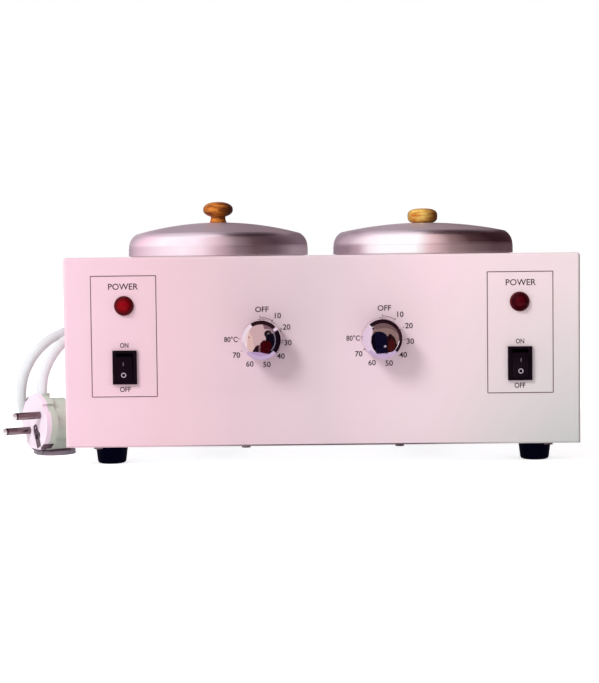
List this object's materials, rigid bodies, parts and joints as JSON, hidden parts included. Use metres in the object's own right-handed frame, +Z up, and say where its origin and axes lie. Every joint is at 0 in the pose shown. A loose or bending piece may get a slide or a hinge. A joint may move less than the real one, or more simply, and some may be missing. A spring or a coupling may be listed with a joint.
{
  "type": "double-pot wax warmer",
  "caption": "Boxy sheet-metal wax warmer with round lidded pots sunk in its top, and a dial, a rocker switch and a signal lamp for each on the front.",
  "frame": {"origin": "on the surface that the feet stand on, under the middle of the outer box measured without the cord", "axes": "+X to the right seen from the front, +Y to the back, +Z up; the front panel faces -Y"},
  "size_m": [0.3723, 0.3029, 0.1669],
  "materials": {
    "painted_sheet": "smooth pale pink powder coat",
    "zinc_steel": "zinc plated",
    "foot_rubber": "matt black",
    "spun_aluminium": "spun, fine turning marks",
    "turned_wood": "turned and varnished",
    "chrome_knob": "polished plating",
    "black_plastic": "moulded, slightly glossy",
    "lamp_bezel": "moulded dark red",
    "red_lens": "clear red moulding",
    "heater_steel": "plain steel sheath",
    "pale_plastic": "moulded heat-resistant plastic",
    "brass_contacts": "nickel plated brass",
    "wire_sleeve": "silicone sleeve",
    "white_cord": "soft white PVC"
  },
  "bodies": {
    "housing": {"base_plate": "zinc_steel", "base_screws": "zinc_steel", "cord_coil": "white_cord", "cord_gland": "white_cord", "cord_tie": "white_cord", "earth_screw": "zinc_steel", "earth_wire": "wire_sleeve", "foot_screws": "zinc_steel", "front_left_foot": "foot_rubber", "front_right_foot": "foot_rubber", "heater_clamp_bolts": "zinc_steel", "housing_shell": "painted_sheet", "lamp_nuts": "zinc_steel", "left_heater_band": "heater_steel", "left_heating_well": "spun_aluminium", "left_lamp_body": "lamp_bezel", "left_lamp_lens": "red_lens", "left_sensor_bulb": "heater_steel", "left_switch_body": "black_plastic", "left_thermal_cutout": "pale_plastic", "left_thermostat": "pale_plastic", "live_wires": "wire_sleeve", "mains_cord": "white_cord", "neutral_wires": "wire_sleeve", "plug_body": "white_cord", "plug_cord": "white_cord", "plug_earth_contacts": "brass_contacts", "plug_pins": "brass_contacts", "rear_left_foot": "foot_rubber", "rear_right_foot": "foot_rubber", "right_heater_band": "heater_steel", "right_heating_well": "spun_aluminium", "right_lamp_body": "lamp_bezel", "right_lamp_lens": "red_lens", "right_sensor_bulb": "heater_steel", "right_switch_body": "black_plastic", "right_thermal_cutout": "pale_plastic", "right_thermostat": "pale_plastic", "switch_terminals": "brass_contacts", "terminal_block": "pale_plastic", "terminal_screws": "brass_contacts", "thermostat_nuts": "zinc_steel", "well_stud_nuts": "zinc_steel", "well_studs": "zinc_steel"},
    "left_pot_body": {"left_pot": "spun_aluminium"},
    "left_lid_body": {"left_lid": "spun_aluminium", "left_lid_knob": "turned_wood", "left_lid_screw": "zinc_steel"},
    "left_dial_body": {"left_dial_knob": "chrome_knob", "left_dial_shaft": "zinc_steel"},
    "left_rocker_body": {"left_rocker": "black_plastic"},
    "right_pot_body": {"right_pot": "spun_aluminium"},
    "right_lid_body": {"right_lid": "spun_aluminium", "right_lid_knob": "turned_wood", "right_lid_screw": "zinc_steel"},
    "right_dial_body": {"right_dial_knob": "chrome_knob", "right_dial_shaft": "zinc_steel"},
    "right_rocker_body": {"right_rocker": "black_plastic"}
  },
  "joints": [
    {"name": "left_pot_lift", "type": "slide", "parent": "housing", "child": "left_pot_body", "axis": [0, 0, 1], "range_m": [0, 0.11]},
    {"name": "left_lid_lift", "type": "slide", "parent": "left_pot_body", "child": "left_lid_body", "axis": [0, 0, 1], "range_m": [0, 0.06]},
    {"name": "left_dial_turn", "type": "hinge", "parent": "housing", "child": "left_dial_body", "pos_m": [-0.0371, -0.07775, 0.0785], "axis": [0, 1, 0], "range_deg": [0, 270]},
    {"name": "left_rocker_tilt", "type": "hinge", "parent": "housing", "child": "left_rocker_body", "pos_m": [-0.1224, -0.07625, 0.0618], "axis": [-1, 0, 0], "range_deg": [0, 20]},
    {"name": "right_pot_lift", "type": "slide", "parent": "housing", "child": "right_pot_body", "axis": [0, 0, 1], "range_m": [0, 0.11]},
    {"name": "right_lid_lift", "type": "slide", "parent": "right_pot_body", "child": "right_lid_body", "axis": [0, 0, 1], "range_m": [0, 0.06]},
    {"name": "right_dial_turn", "type": "hinge", "parent": "housing", "child": "right_dial_body", "pos_m": [0.0371, -0.07775, 0.0785], "axis": [0, 1, 0], "range_deg": [0, 270]},
    {"name": "right_rocker_tilt", "type": "hinge", "parent": "housing", "child": "right_rocker_body", "pos_m": [0.1224, -0.07625, 0.0618], "axis": [-1, 0, 0], "range_deg": [0, 20]}
  ]
}
